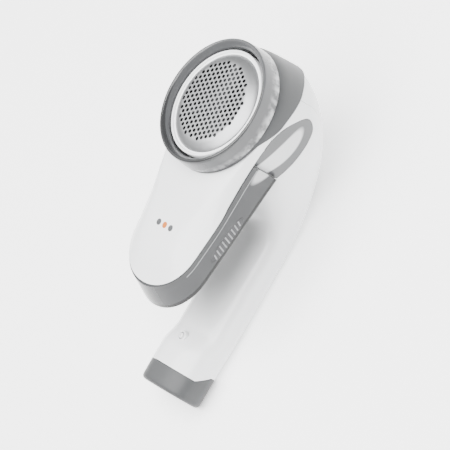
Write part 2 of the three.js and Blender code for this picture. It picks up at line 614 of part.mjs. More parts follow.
function screwSolid(headRadius, headHigh, length, x, y, z, up) {
  const profile = [[0, -length], [screw.shank, -length], [screw.shank, 0], [headRadius, 0],
    [headRadius, headHigh], [0, headHigh]];
  const driven = turned(profile, 0, 0, 14)
    .subtract(box([-headRadius * 0.7, -0.3, headHigh - 0.5], [headRadius * 0.7, 0.3, headHigh + 1]));
  return driven.rotate([up ? 0 : 180, 0, 0]).translate([x, y, z]);
}
const { head: gripHead, length: gripLength } = gripScrew;
add('grip_screw', screwSolid(gripHead, 0.9, gripLength, gripScrew.x, 0, gripScrew.floor + gap, true), steel);
const neckScrewSeat = neckScrew.floor - gap;
add('neck_screw', screwSolid(screw.head, 0.9, neckScrew.length, neckScrew.x, 0, neckScrewSeat, false), steel);
housingScrews.angles.forEach((angle, k) => {
  const [x, y] = screwPlace(angle);
  const shape = screwSolid(housingScrews.head, 1.1, housingScrews.length, x, y, floorTop + gap, true);
  add(`housing_screw_${k + 1}`, leant(shape), steel);
});
motorScrewYs.forEach((y, k) => {
  const shape = screwSolid(motorScrews.head, 1.1, motorScrews.length, head.x, y, floorTop + gap, true);
  add(`motor_screw_${k + 1}`, leant(shape), steel);
});

// ---------------------------------------------------------------- cells, contacts and leads

const cellEnd = cell.from + cell.length;
const cellSides = [-cell.spread, cell.spread];
cellSides.forEach((y, k) => {
  const { radius, nub, nubRadius, z } = cell;
  const [flat, tip, step] = k === 0 ? [cell.from, cellEnd + nub, 1] : [cellEnd, cell.from - nub, -1];
  const shoulder = tip - step * nub;
  const profile = [
    [0, flat], [radius - 0.5, flat], [radius, flat + step * 0.5], [radius, shoulder - step * 0.5],
    [radius - 0.5, shoulder], [nubRadius, shoulder], [nubRadius, tip], [0, tip],
  ];
  add(`battery_${k + 1}`, turnedAlongX(profile, y, z), black);
});
const carrierRing = (x) => fullRing(handleStation(x), handle.wall + gap);
const carrierPlate = loft([carrierRing(carrier.x), carrierRing(carrier.x + carrier.thick)])
  .subtract(box([0, -1.6, 14], [big, 1.6, 30]));
add('contact_carrier', carrierPlate, darkPlastic);
add('battery_contact', box(
  [carrier.x - gap - contact.plate, -cell.spread - contact.half, cell.z - contact.half],
  [carrier.x - gap, -cell.spread + contact.half, cell.z + contact.half],
), steel);
const springFrom = cellEnd + gap;
const endSpring = (room) => coil(springSize.radius, springSize.wire, 0, room, springSize.turns, 0, 0);
const cellSpring = endSpring(carrier.x - gap - springFrom);
add('battery_spring', turnToX(cellSpring, springFrom, cell.spread, cell.z), steel);
const { plate, at: bridgeFrom, half: reach } = contact;
const bridgeTo = bridgeFrom + plate;
add('cap_contact', box(
  [bridgeFrom, -cell.spread - reach, cell.z - reach], [bridgeTo, cell.spread + reach, cell.z + reach],
), steel);
const capSpring = endSpring(cell.from - bridgeTo - 2 * gap);
add('cap_spring', turnToX(capSpring, bridgeTo + gap, -cell.spread, cell.z), steel);

const leadX = carrier.x + carrier.thick + gap;
const motorFoot = lugTop - 3.2 - gap - wire;
const switchIn = sliderPoint.y + 12.5;
add('lead_contact_to_switch', tube([[leadX, -8.6, 8], [80, -8, 8], [92, -6, 10],
  [sliderPoint.x + 1, -3, switchIn]], wire, 6, 14), red);
add('lead_switch_to_motor', tube([[sliderPoint.x + 4, -2, switchIn + 1.8], [120, -5, 24], [126, -8, 27],
  [head.x - 4, -6, motorFoot]], wire, 6, 14), red);
add('lead_spring_to_motor', tube([[leadX, 8.6, 8], [84, 9, 8.5], [104, 9, 17], [122, 9, 26],
  [head.x - 4, 6, motorFoot]], wire, 6, 18), black);

// ---------------------------------------------------------------- battery cap

const roundings = [[0, 1.5], [0.7, 0.45], [cap.round, 0], [cap.length, 0], [cap.tongue + 1, 0]];
const capRing = (x, inset) => {
  const station = handleStation(0);
  station.outer.x = x;
  station.inner.x = x;
  return fullRing(station, inset);
};
const capSkin = loft(roundings.map(([x, inset]) => capRing(x, inset)));
const capHollow = loft([
  capRing(cap.wall, cap.wall + 0.6), capRing(cap.wall + 1, cap.wall), capRing(big / 2, cap.wall),
]);
const capEnd = sideCut([[cap.length, cap.tongueHigh], [cap.length, 50], [50, 50], [50, -10],
  [cap.tongue, -10], [cap.tongue, cap.tongueLow]]);
add('battery_cap', capSkin.subtract(capHollow).subtract(capEnd), grey);

// ---------------------------------------------------------------- origin under the middle

shaver.position.x = -(head.x + head.radius + collar.over + 2 * collar.flare) / 2;
shaver.position.z = -base;

export default shaver;
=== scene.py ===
import json
import math

import bmesh
import bpy
from mathutils import Matrix, Vector


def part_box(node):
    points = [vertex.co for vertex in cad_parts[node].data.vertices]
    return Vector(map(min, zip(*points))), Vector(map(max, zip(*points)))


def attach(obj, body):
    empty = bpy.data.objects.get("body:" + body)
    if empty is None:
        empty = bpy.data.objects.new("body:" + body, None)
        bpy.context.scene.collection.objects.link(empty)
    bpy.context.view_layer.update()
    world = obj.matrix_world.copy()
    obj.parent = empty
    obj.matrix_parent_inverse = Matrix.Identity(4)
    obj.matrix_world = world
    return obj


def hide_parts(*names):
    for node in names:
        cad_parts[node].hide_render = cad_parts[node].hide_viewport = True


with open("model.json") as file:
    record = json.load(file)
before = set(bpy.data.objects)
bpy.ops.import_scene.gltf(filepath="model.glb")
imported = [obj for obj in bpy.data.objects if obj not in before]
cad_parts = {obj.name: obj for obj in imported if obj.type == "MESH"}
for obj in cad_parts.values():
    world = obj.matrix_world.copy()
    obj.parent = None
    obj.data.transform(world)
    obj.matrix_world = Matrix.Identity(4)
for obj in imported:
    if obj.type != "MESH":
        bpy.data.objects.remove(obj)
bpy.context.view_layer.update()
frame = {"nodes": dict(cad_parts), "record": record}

bpy.ops.object.select_all(action="DESELECT")


# ---- Handle and neck, front shell
# The front half of a moulded white ABS body. It runs from the battery cap, dips under the
# forefinger and swings up and round into the round head. It meets the back half far round its
# sides, and the two are held by screws.

cap_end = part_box("battery_cap")[0][0] * 1000  # every length below is in millimetres from here
flat_height = 1.5  # the handle's round back is planed off this high


def place(x, y, z):
    """Millimetres from the cap's end face as a point in metres."""
    return Vector(((x + cap_end) / 1000, y / 1000, (z - flat_height) / 1000))


def in_edit_mode(obj):
    bpy.ops.object.select_all(action="DESELECT")
    bpy.context.view_layer.objects.active = obj
    obj.select_set(True)
    bpy.ops.object.mode_set(mode="EDIT")
    return bmesh.from_edit_mesh(obj.data)


def tidy(obj, merge=1e-6):
    """Merges doubles, turns the faces outwards and goes back to object mode."""
    if obj.mode != "EDIT":
        in_edit_mode(obj)
    bpy.ops.mesh.select_all(action="SELECT")
    bpy.ops.mesh.remove_doubles(threshold=merge)
    bpy.ops.mesh.delete_loose(use_verts=True, use_edges=True, use_faces=False)
    bpy.ops.mesh.select_all(action="SELECT")
    bpy.ops.mesh.normals_make_consistent(inside=False)
    bpy.ops.object.mode_set(mode="OBJECT")
    return obj


def key(point):
    return tuple(round(value * 1e6) for value in point)


def lofted(name, rings):
    """A disc extruded from ring to ring of points given in millimetres."""
    bpy.ops.object.select_all(action="DESELECT")
    bpy.ops.mesh.primitive_circle_add(vertices=len(rings[0]), fill_type="NGON", radius=0.001)
    obj = bpy.context.object
    obj.name = name
    obj.data.name = name
    placed = [[place(*point) for point in ring] for ring in rings]
    bm = in_edit_mode(obj)
    bm.verts.ensure_lookup_table()
    for vert, point in zip(bm.verts, placed[0]):
        vert.co = point
    bmesh.update_edit_mesh(obj.data)
    for last, ring in zip(placed, placed[1:]):
        bpy.ops.mesh.extrude_region()
        bm = bmesh.from_edit_mesh(obj.data)
        where = {key(vert.co): vert for vert in bm.verts if vert.select}
        for before, after in zip(last, ring):
            where[key(before)].co = after
        bmesh.update_edit_mesh(obj.data)
    return tidy(obj, merge=1e-7)


def laddered(obj, ring):
    """Closes the end at ring with rungs between its two mirrored sides, so that it keeps its height."""
    bm = in_edit_mode(obj)
    spots = {key(vert.co): vert for vert in bm.verts}
    verts = [spots[key(place(*point))] for point in ring]
    end = next(face for face in bm.faces if len(face.verts) == len(ring) and set(face.verts) == set(verts))
    bmesh.ops.delete(bm, geom=[end], context="FACES_ONLY")
    half = len(verts) // 2
    for i in range(half):
        rung = [verts[i], verts[i + 1], verts[-i - 1], verts[-i]]
        rung = [vert for k, vert in enumerate(rung) if vert not in rung[:k]]
        bm.faces.new(rung)
    bmesh.update_edit_mesh(obj.data)
    return tidy(obj, merge=1e-7)


def circle(radius, z, x=0.0, y=0.0, sides=96):
    turns = [2 * math.pi * i / sides for i in range(sides)]
    return [(x + radius * math.cos(a), y + radius * math.sin(a), z) for a in turns]


def drum(radius, low, high, x, y=0.0, sides=96):
    return lofted("tool", [circle(radius, low, x, y, sides), circle(radius, high, x, y, sides)])


def pushed(outline, low=-100, high=100):
    """A side outline of (x, z) pushed through the width."""
    return lofted("tool", [[(x, y, z) for x, z in outline] for y in (low, high)])


def block(low, high):
    (x0, y0, z0), (x1, y1, z1) = low, high
    return pushed([(x0, z0), (x1, z0), (x1, z1), (x0, z1)], y0, y1)


def changed(obj, operation, *tools):
    """obj with each tool cut away, added or kept, and the tools gone."""
    for tool in tools:
        bpy.ops.object.select_all(action="DESELECT")
        bpy.context.view_layer.objects.active = obj
        change = obj.modifiers.new("change", "BOOLEAN")
        change.operation = operation
        change.solver = "EXACT"
        change.object = tool
        bpy.ops.object.modifier_apply(modifier="change")
        bpy.data.objects.remove(tool)
    return obj


def cut(obj, *tools):
    return changed(obj, "DIFFERENCE", *tools)


def kept(obj, *tools):
    return changed(obj, "INTERSECT", *tools)


def joined(obj, *tools):
    return changed(obj, "UNION", *tools)


def smooth(obj, degrees=30):
    bpy.ops.object.select_all(action="DESELECT")
    bpy.context.view_layer.objects.active = obj
    obj.select_set(True)
    bpy.ops.object.shade_smooth_by_angle(angle=math.radians(degrees))
    return obj


def eased(t):
    t = min(max(t, 0.0), 1.0)
    return t * t * (3 - 2 * t)


def mixed(a, b, t):
    return a + (b - a) * t


def bezier(points, t):
    a, b, c, d = [Vector(point) for point in points]
    return a * (1 - t) ** 3 + b * 3 * (1 - t) ** 2 * t + c * 3 * (1 - t) * t * t + d * t ** 3


def curved(points, steps):
    """A smooth line through points, as a list of steps + 1 points."""
    line = []
    for k in range(steps + 1):
        at = (len(points) - 1) * k / steps
        i = min(int(at), len(points) - 1)
        t = at - i
        a, b = Vector(points[max(i - 1, 0)]), Vector(points[i])
        c = Vector(points[min(i + 1, len(points) - 1)])
        d = Vector(points[min(i + 2, len(points) - 1)])
        v, w = (c - a) / 2, (d - b) / 2
        line.append(tuple((2 * b - 2 * c + v + w) * t ** 3 + (3 * c - 3 * b - 2 * v - w) * t * t + v * t + b))
    return line


head_x, head_radius, head_wall = 130.0, 33.5, 3.6
handle_half, handle_depth, handle_wall, handle_power, handle_back = 17.1, 24.0, 1.6, 2.5, -0.33
recess_from, recess_to, recess_depth = 20.0, 33.0, 3.5
neck_from, neck_seat = 80.0, 46.6
grip_front = handle_depth - recess_depth
outer_rail = [(neck_from, handle_back), (neck_from + 40, handle_back),
              (head_x + head_radius - 6, neck_seat - 22), (head_x + head_radius, neck_seat)]
inner_rail = [(neck_from, grip_front), (neck_from + 10.5, grip_front),
              (head_x - head_radius - 0.2, neck_seat - 16.6), (head_x - head_radius, neck_seat)]
split_angle, split_gap = 128.0, 0.15
gap = 0.25  # between pieces that touch
# Where the battery cap ends at the back and at the front, and the two heights where its edge turns.
cap_back, cap_front, cap_step, cap_knee = 16.1, 11.1, 16.1, 7.8
collar_seat, mouth_radius = 31.4, 28.6
head_cut = 68.2


def handle_station(x):
    dip = eased((x - recess_from) / (recess_to - recess_from))
    ends = Vector((x, handle_back)), Vector((x, handle_depth - recess_depth * dip))
    return ends, handle_half, handle_wall, handle_power


def neck_station(s):
    blend = eased(s) ** 1.4
    sizes = [mixed(a, b, blend) for a, b in (
        (handle_half, head_radius), (handle_wall, head_wall), (handle_power, 2.0))]
    return (bezier(outer_rail, s), bezier(inner_rail, s)), *sizes


def head_station(z):
    (outer, inner), *sizes = neck_station(1)
    return (Vector((outer.x, z)), Vector((inner.x, z))), *sizes


def section_point(station, angle, inset):
    (outer, inner), half, _, power = station
    to_front = inner - outer
    depth = to_front.length / 2
    to_front.normalize()
    u, v = [math.copysign(abs(f(angle)) ** (2 / power), f(angle)) for f in (math.cos, math.sin)]
    middle = (inner + outer) / 2 + to_front * (depth - inset) * u
    return middle.x, (half - inset) * v, max(middle.y, flat_height + inset)


def body_wall(name, stations, start, end, count):
    angles = [math.radians(mixed(start, end, i / count)) for i in range(count + 1)]
    rings = []
    for station in stations:
        skin = [section_point(station, angle, 0) for angle in angles]
        back = [section_point(station, angle, station[2]) for angle in angles]
        rings.append(skin + back[::-1])
    return lofted(name, rings)


collar_top = 69.5
handle_from = 11.05
handle_xs = [handle_from, 14, 17] + [mixed(18.5, 34.5, k / 16) for k in range(17)] + [40, 48, 56, 64, 72, 76]
stations = [handle_station(x) for x in handle_xs]
stations += [neck_station(k / 44) for k in range(45)]
stations += [head_station(z) for z in (50, 54, 58, 62, collar_top)]

rim = [(20, 60.6), (76, 60.6), (91, 61.7), (102, 62.7), (112, 63.4), (121, 63.9), (127.5, 63.8)]
seam = curved(rim, 60)
bin_back = 112.7
insert_tip = [(134.3, 60.8), (140.4, 55.1), (144.3, 49.6), (144.4, 45.9), (141.6, 43.6), (136, 43.6),
              (128, 44.6), (120.7, 45.4)]
collar_edge = [(80, 70.6), (97, 69.9), (111.7, 69.3), (117, 69.1), (121.8, 68.2), (127.6, 65.5),
               (133.3, 62.8), (139.6, 60.6), (145.7, 57.9), (150.7, 55.5), (155.6, 53.3),
               (160.1, 50.6), (162.5, 48), (164, 46), (166, 43.5)]
collar_line = curved(collar_edge, 100)


def below_seam(by):
    end = (head_x + 0.2, rim[-1][1] + by)
    line = [(x, z + by) for x, z in seam]
    return pushed([(0, 0), (0, rim[0][1] + by), *line, end, (end[0], 0)])


def above_collar_edge(by):
    return pushed([*[(x, z + by) for x, z in collar_line], (200, 40), (200, 100), (80, 100)])


def leaf(grow):
    outline = [(bin_back + 0.6, 63.4)] + curved(rim[5:] + insert_tip, 80) + [(bin_back + 0.6, 46)]
    middle = Vector((127, 54))
    grown = []
    for point in outline:
        out = (Vector(point) - middle).normalized() * grow
        grown.append(tuple(Vector(point) + out))
    return pushed(grown)


lean_degrees, lean_height = 2.4, 79.1


def leant(obj):
    """obj turned with the head, whose foil leans a little away from the handle."""
    pivot = Matrix.Translation(place(head_x, 0, lean_height))
    turn = Matrix.Rotation(math.radians(lean_degrees), 4, "Y")
    obj.data.transform(pivot @ turn @ pivot.inverted())
    return obj


def head_room():
    return drum(head_radius - head_wall + 0.4, 0, 100, head_x)


def make_room(wall):
    """Cuts off what the collar, the open mouth of the head and the battery cap take from a shell."""
    cut(wall, cut(above_collar_edge(-gap), drum(collar_seat, 0, 100, head_x)))
    cut(wall, leant(block((40, -60, head_cut), (190, 60, 130))))
    cut(wall, pushed([(0, cap_step), (cap_front, cap_step), (cap_back, cap_knee), (cap_back, -5), (0, -5)]))


shell = body_wall("handle_front", stations, -split_angle + split_gap, split_angle - split_gap, 80)
bulkhead_x = bin_back + 0.3
cut(shell, block((0, -60, neck_seat), (bulkhead_x, 60, 100)))
deck = kept(block((60, -60, neck_seat - 2), (bulkhead_x + 1, 60, neck_seat)), head_room())
bulkhead = kept(block((bulkhead_x, -60, neck_seat - 2), (bulkhead_x + 2, 60, 63)), head_room())
joined(shell, deck, bulkhead)
pocket_radius = head_radius - 1.8
cut(shell, cut(leaf(gap), drum(pocket_radius, 0, 100, head_x)))
cut(shell, cut(block((0, -60, 40), (head_x + 0.1, 60, 120)), below_seam(gap)))
make_room(shell)

grip_x, grip_floor, grip_bore = 26.6, 20.0, 1.9
seat = [(2.9, 18.8), (2.9, 22.7), (2.75, 23.15), (2.4, 23.4)]
joined(shell, lofted("tool", [circle(radius, z, grip_x, 0, 40) for radius, z in seat]))
cut(shell, drum(grip_bore, grip_floor, 30, grip_x, sides=40))
smooth(shell)


def linear(text):
    """An sRGB hex colour as linear RGBA."""
    values = [int(text[i:i + 2], 16) / 255 for i in (1, 3, 5)]
    return (*[v / 12.92 if v <= 0.04045 else ((v + 0.055) / 1.055) ** 2.4 for v in values], 1.0)


def add_node(material, kind, links=(), **settings):
    """A node with its settings, its unlinked inputs by name, and its links."""
    made = material.node_tree.nodes.new(kind)
    values = settings.pop("values", {})
    for setting, value in settings.items():
        setattr(made, setting, value)
    for socket, value in values.items():
        made.inputs[socket].default_value = value
    for source, socket in links:
        material.node_tree.links.new(source, made.inputs[socket])
    return made


def new_material(name, **values):
    """A material, its shader with the values given, and the place on the object that it reads."""
    material = bpy.data.materials.new(name)
    material.use_nodes = True
    material.node_tree.nodes.clear()
    shader = add_node(material, "ShaderNodeBsdfPrincipled", values=values)
    out = add_node(material, "ShaderNodeOutputMaterial")
    material.node_tree.links.new(shader.outputs["BSDF"], out.inputs["Surface"])
    place_node = add_node(material, "ShaderNodeTexCoord")
    return material, shader, place_node.outputs["Object"]


def moulded(material, shader, where, dark, light, grain_mm, rough, bump):
    """Uneven colour, gloss and surface, as moulded plastic has, with the grain's size in mm."""
    link = material.node_tree.links.new
    noise = add_node(material, "ShaderNodeTexNoise", [(where, "Vector")],
                     values={"Scale": 1000 / grain_mm, "Detail": 4.0, "Roughness": 0.6})
    wide = add_node(material, "ShaderNodeTexNoise", [(where, "Vector")],
                    values={"Scale": 1000 / (grain_mm * 25), "Detail": 2.0})
    tint = add_node(material, "ShaderNodeMix", [(wide.outputs["Fac"], "Factor")], data_type="RGBA")
    tint.inputs["A"].default_value = linear(dark)
    tint.inputs["B"].default_value = linear(light)
    link(tint.outputs["Result"], shader.inputs["Base Color"])
    gloss = add_node(material, "ShaderNodeMapRange", [(noise.outputs["Fac"], "Value")],
                     values={"To Min": rough * 0.85, "To Max": rough * 1.2})
    link(gloss.outputs["Result"], shader.inputs["Roughness"])
    relief = add_node(material, "ShaderNodeBump", [(noise.outputs["Fac"], "Height")],
                      values={"Strength": bump, "Distance": 0.00002})
    link(relief.outputs["Normal"], shader.inputs["Normal"])


def dress(obj, material):
    obj.data.materials.clear()
    obj.data.materials.append(material)


# ABS moulded against polished steel: clean white with a soft gloss and a faint orange peel.
white_abs, shader, where = new_material("white_abs", IOR=1.53)
moulded(white_abs, shader, where, "#e3e4e5", "#eaebec", 1.2, 0.22, 0.05)
dress(shell, white_abs)
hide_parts("front_shell")
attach(shell, "body")


# ---- Plug over the grip screw
# A soft white rubber plug that hides the head of the screw in the finger hollow. It is pushed into
# a raised seat, stands a little proud of it and has a dimple in its middle.

plug = lofted("screw_plug", [circle(r, z, grip_x, 0, 40) for r, z in (
    (1.4, 21.4), (1.4, 23.4), (1.2, 23.8), (0.8, 24.0), (0.4, 24.05), (0.3, 23.4))])
smooth(plug)
# Moulded thermoplastic rubber: near white, soft and a little cloudy.
soft_rubber, shader, where = new_material("thermoplastic_rubber", IOR=1.5)
moulded(soft_rubber, shader, where, "#e2e3e4", "#eceded", 0.8, 0.3, 0.2)
dress(plug, soft_rubber)
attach(plug, "body")


# ---- Back shell
# The back half of the same moulding, in the same white ABS. It is planed flat where the shaver
# lies, has a slot for the switch and a sunk hole for the screw that holds the halves together.

back = body_wall("handle_back", stations, split_angle + split_gap, 360 - split_angle - split_gap, 44)
make_room(back)
neck_screw_x, neck_screw_floor = 76.0, 3.1
boss_radius, head_hole, shank_hole = 4.0, 2.6, 1.3
joined(back, drum(boss_radius, 1.9, 4.5, neck_screw_x, sides=40))
cut(back, drum(head_hole, -5, neck_screw_floor, neck_screw_x, sides=40))
cut(back, drum(shank_hole, -5, 20, neck_screw_x, sides=24))
slide_at = 0.3
slide_point = bezier(outer_rail, slide_at)
ahead = bezier(outer_rail, slide_at + 0.01) - bezier(outer_rail, slide_at - 0.01)
slide_slope = math.atan2(ahead.y, ahead.x)


def on_neck(obj):
    """obj, drawn at the cap's end, put at the switch and tilted with the back of the neck."""
    start = place(0, 0, 0)
    target = place(slide_point.x, 0, slide_point.y)
    turn = Matrix.Rotation(-slide_slope, 4, "Y")
    obj.data.transform(Matrix.Translation(target) @ turn @ Matrix.Translation(-start))
    return obj


slot_half, slot_from, slot_to = 2.3, -2.3, 7.3
cut(back, on_neck(block((slot_from, -slot_half, -3), (slot_to, slot_half, 5))))
smooth(back)
dress(back, white_abs)
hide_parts("rear_shell")
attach(back, "body")


# ---- Slide switch
# A small grey ABS slider with three finger ribs, on the back of the neck. Its stem goes through
# a slot into the switch case, which is a dark moulding with no visible detail.

knob_outline = [(-5, -3.2), (-4.2, -4), (4.2, -4), (5, -3.2), (5, 3.2), (4.2, 4), (-4.2, 4), (-5, 3.2)]
knob_levels = [(-0.3, 1.0), (-0.9, 1.0), (-1.25, 0.95), (-1.4, 0.86)]
knob_rings = [[(x * share, y * share, z) for x, y in knob_outline] for z, share in knob_levels]
knob = on_neck(lofted("switch_slider", knob_rings))
stem_half, stem_top, stem_end = 2.0, -0.5, 3.6
joined(knob, on_neck(block((-stem_half, -stem_half, stem_top), (stem_half, stem_half, stem_end))))
rib_levels = [(-1.2, 0.5), (-1.6, 0.45), (-1.9, 0.2)]
for x in (-2.4, 0, 2.4):
    rib_rings = [[(x - w, -3, z), (x + w, -3, z), (x + w, 3, z), (x - w, 3, z)] for z, w in rib_levels]
    joined(knob, on_neck(lofted("tool", rib_rings)))
smooth(knob)
# Pigmented ABS with a fine spark-eroded texture: mid grey and satin.
grey_abs, shader, where = new_material("grey_abs", IOR=1.53)
shader.inputs["Specular IOR Level"].default_value = 0.25
moulded(grey_abs, shader, where, "#404142", "#494a4b", 0.5, 0.42, 0.25)
dress(knob, grey_abs)
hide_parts("switch_knob")
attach(knob, "switch")


# ---- Face panel
# The long glossy white tongue over the lint bin. It is a separate 2 mm moulding that stops at the
# collar, crowned across its width and rounded down to its edge all the way round its tip.

tongue_tip, tongue_radius, tongue_wall = 38.7, 24.8, 2.0
crown = curved([(39, 62.2), (50, 64.7), (62, 66.4), (78, 67.6), (97, 69.2), (130, 68), (165, 66.5)], 200)


def crown_at(x):
    k = next((i for i, point in enumerate(crown) if point[0] >= x), len(crown) - 1)
    (x0, z0), (x1, z1) = crown[max(k, 1) - 1], crown[max(k, 1)]
    return mixed(z0, z1, (x - x0) / (x1 - x0))


def prong_ring(tip, inset, head_inset, height, count=40):
    """The outline of the tongue seen from above: a tip circle, the head's circle and their tangents."""
    middle = tip + tongue_radius
    small, large = tongue_radius - inset, head_radius - head_inset
    lean = math.asin((large - small) / (head_x - middle))
    side = []
    for x, radius, start, end in ((middle, small, math.pi, math.pi / 2 + lean),
                                  (head_x, large, math.pi / 2 + lean, 0)):
        turns = [mixed(start, end, k / count) for k in range(count + 1)]
        side += [(x + radius * math.cos(a), radius * math.sin(a)) for a in turns]
    first, last = side[count], side[count + 1]
    between = [(mixed(first[0], last[0], k / 24), mixed(first[1], last[1], k / 24)) for k in range(1, 24)]
    side = side[:count + 1] + between + side[count + 1:]
    ring = side + [(x, -y) for x, y in side[1:-1][::-1]]
    return [(x, y, height(x)) for x, y in ring]


rim_base = rim[0][1]
panel_steps = curved([(0, 0.06), (1.2, 0.2), (2.6, 0.35), (4.5, 0.52), (7.5, 0.72), (11, 0.88),
                      (16, 0.98)], 24)


def panel_skin(inset, drop):
    rings = [prong_ring(tongue_tip, inset, inset, lambda x: rim_base - 2 - 2 * drop)]
    for step, share in panel_steps:
        rings.append(prong_ring(tongue_tip, step + inset, inset + step * 0.04,
                                lambda x: mixed(rim_base, crown_at(x), share) - drop))
    return laddered(lofted("face_tongue", rings), rings[-1])


panel = cut(panel_skin(0, 0), panel_skin(tongue_wall, tongue_wall))
cut(panel, below_seam(0.4), above_collar_edge(0))
cut(panel, leant(block((40, -60, 69.2), (190, 60, 130))))
cut(panel, block((head_x - 0.1, -60, 0), (200, 60, 100)), leant(drum(mouth_radius, 0, 100, head_x)))
smooth(panel, 35)
dress(panel, white_abs)
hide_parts("face_panel")
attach(panel, "body")


# ---- Printed dots on the panel
# A row of three small dots across the tongue, grey, orange and grey, pad-printed as decoration.
# Each is a film a twentieth of a millimetre thick that follows the crown of the panel.

dots_x, dot_radius, dot_spacing = 68.0, 1.6, 4.8


def oval(x, y, half_x, half_y, sides=48):
    turns = [2 * math.pi * i / sides for i in range(sides)]
    return [(x + half_x * math.cos(a), y + half_y * math.sin(a)) for a in turns]


def printed(name, outline, ink):
    """A thin print in the shape of outline, lifted onto the panel."""
    film = lofted(name, [[(x, y, z) for x, y in outline] for z in (60, 75)])
    kept(film, panel_skin(-0.05, -0.05))
    cut(film, panel_skin(0.01, 0.01))
    smooth(film)
    dress(film, ink)
    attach(film, "body")


# Pad-printing inks: satin, and a little thinner in places.
grey_ink, shader, where = new_material("grey_printing_ink", IOR=1.5)
moulded(grey_ink, shader, where, "#3c3d3f", "#4a4b4d", 0.9, 0.4, 0.1)
orange_ink, shader, where = new_material("orange_printing_ink", IOR=1.5)
moulded(orange_ink, shader, where, "#b05a00", "#c06a06", 0.9, 0.4, 0.1)
for number, ink in enumerate((grey_ink, orange_ink, grey_ink)):
    dot = oval(dots_x, (number - 1) * dot_spacing, dot_radius, dot_radius)
    printed(f"printed_dot_{number + 1}", dot, ink)


# ---- Lint bin
# The smoked see-through drawer that catches the lint. It wraps the underside of the tongue, its
# upper edge runs along the panel's seam, and it slides out towards the handle. Each flank has an
# oval thumb grip with nearly upright ribs.

bin_tip, bin_wall, bin_floor, bin_back_wall = 32.4, 0.9, 1.8, 1.7
bin_bottom = neck_seat + 0.3
# How high the painted shade along the drawer's lower edge reaches.
painted_shade_top = 49.2  # the drawer's lower edge looks black up to here
# Where the oval of painted light sits on the drawer and the inserts, seen from the side.
leaf_middle, leaf_slope = (122.4, 0, 54.4), 14.2
leaf_half_length, leaf_half_height = 17.5, 4.3


def bin_ring(inset, z):
    along = min((z - bin_bottom) / (rim_base - bin_bottom), 1)
    return prong_ring(mixed(bin_tip, tongue_tip, along), inset, inset, lambda x: z)


outside = [(1.5, bin_bottom), (0.9, bin_bottom + 0.15), (0.4, bin_bottom + 0.5), (0.12, bin_bottom + 1.0),
           (0, bin_bottom + 1.7), (0, 52), (0, 56), (0, rim_base), (0, 70)]
drawer = lofted("lint_drawer", [bin_ring(inset, z) for inset, z in outside])
kept(drawer, below_seam(0), block((0, -60, 0), (bin_back, 60, 100)))
floor_top = bin_bottom + bin_floor
inside = [(bin_wall + 1.2, floor_top), (bin_wall + 0.4, floor_top + 0.4), (bin_wall, floor_top + 1.2),
          (bin_wall, rim_base), (bin_wall, 75)]
hollow = lofted("tool", [bin_ring(inset, z) for inset, z in inside])
cut(drawer, kept(hollow, block((0, -60, 0), (bin_back - bin_back_wall, 60, 100))))
smooth(drawer)
# Smoked SAN, clear and glossy as glass: it looks mid grey because it is thin and what is behind it
# is white. Its middle is painted lighter, an oval of painted light for the white body seen through it.
smoked_san, shader, where = new_material("smoked_san", IOR=1.57)
shader.inputs["Transmission Weight"].default_value = 0.25
shader.inputs["Specular IOR Level"].default_value = 0.22
moulded(smoked_san, shader, where, "#333435", "#58595b", 2.6, 0.14, 0.12)


def paint_white_seen_through(material, shader, where):
    """Paints a light oval, seen from the side, into the colour: painted light for the white body seen through
    the smoke.
    """
    link = material.node_tree.links.new
    sit = add_node(material, "ShaderNodeMapping", [(where, "Vector")])
    sit.inputs["Rotation"].default_value = (0, math.radians(leaf_slope), 0)
    sit.vector_type = "TEXTURE"
    sit.inputs["Location"].default_value = place(*leaf_middle)
    sit.inputs["Scale"].default_value = (leaf_half_length / 1000, 1000, leaf_half_height / 1000)
    length = add_node(material, "ShaderNodeVectorMath", [(sit.outputs["Vector"], 0)], operation="LENGTH")
    edge = add_node(material, "ShaderNodeMapRange", [(length.outputs["Value"], "Value")],
                    values={"From Min": 0.9, "From Max": 1.08, "To Min": 1.0, "To Max": 0.0})
    lens = add_node(material, "ShaderNodeMix", [(edge.outputs["Result"], "Factor")], data_type="RGBA")
    link(shader.inputs["Base Color"].links[0].from_socket, lens.inputs["A"])
    lens.inputs["B"].default_value = linear("#cdcecf")
    link(lens.outputs["Result"], shader.inputs["Base Color"])


def painted_shade_band(material, shader, where, low, high, fade, hex_colour):
    """Paints shade into the colour in a band of heights: the band goes dark, as painted shade along a gap and
    at an edge that turns away.
    """
    link = material.node_tree.links.new
    split = add_node(material, "ShaderNodeSeparateXYZ", [(where, "Vector")])
    middle, half = (low + high) / 2, (high - low) / 2
    away = add_node(material, "ShaderNodeMath", [(split.outputs["Z"], 0)], operation="SUBTRACT")
    away.inputs[1].default_value = place(0, 0, middle).z
    size = add_node(material, "ShaderNodeMath", [(away.outputs["Value"], 0)], operation="ABSOLUTE")
    band = add_node(material, "ShaderNodeMapRange", [(size.outputs["Value"], "Value")],
                    values={"From Min": half / 1000, "From Max": (half + fade) / 1000,
                            "To Min": 1.0, "To Max": 0.0})
    dark = add_node(material, "ShaderNodeMix", [(band.outputs["Result"], "Factor")], data_type="RGBA")
    link(shader.inputs["Base Color"].links[0].from_socket, dark.inputs["A"])
    dark.inputs["B"].default_value = linear(hex_colour)
    link(dark.outputs["Result"], shader.inputs["Base Color"])


# Painted shade: a near-black band along the drawer's lower edge, for the shadow in the gap against the body
# and the dark edge of the smoke.
painted_shade_band(smoked_san, shader, where, 44, painted_shade_top, 0.4, "#0b0b0c")
# Painted light: a light oval in the drawer's colour, for the white body seen through the smoke.
paint_white_seen_through(smoked_san, shader, where)
dress(drawer, smoked_san)
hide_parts("lint_bin")
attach(drawer, "lint_bin")


def flank(x, z):
    """How far out the bin's flank is."""
    ring = bin_ring(0, z)
    side = sorted((px, py) for px, py, _ in ring if py >= 0)
    k = next(i for i, point in enumerate(side) if point[0] >= x)
    (x0, y0), (x1, y1) = side[k - 1], side[k]
    return mixed(y0, y1, (x - x0) / (x1 - x0))


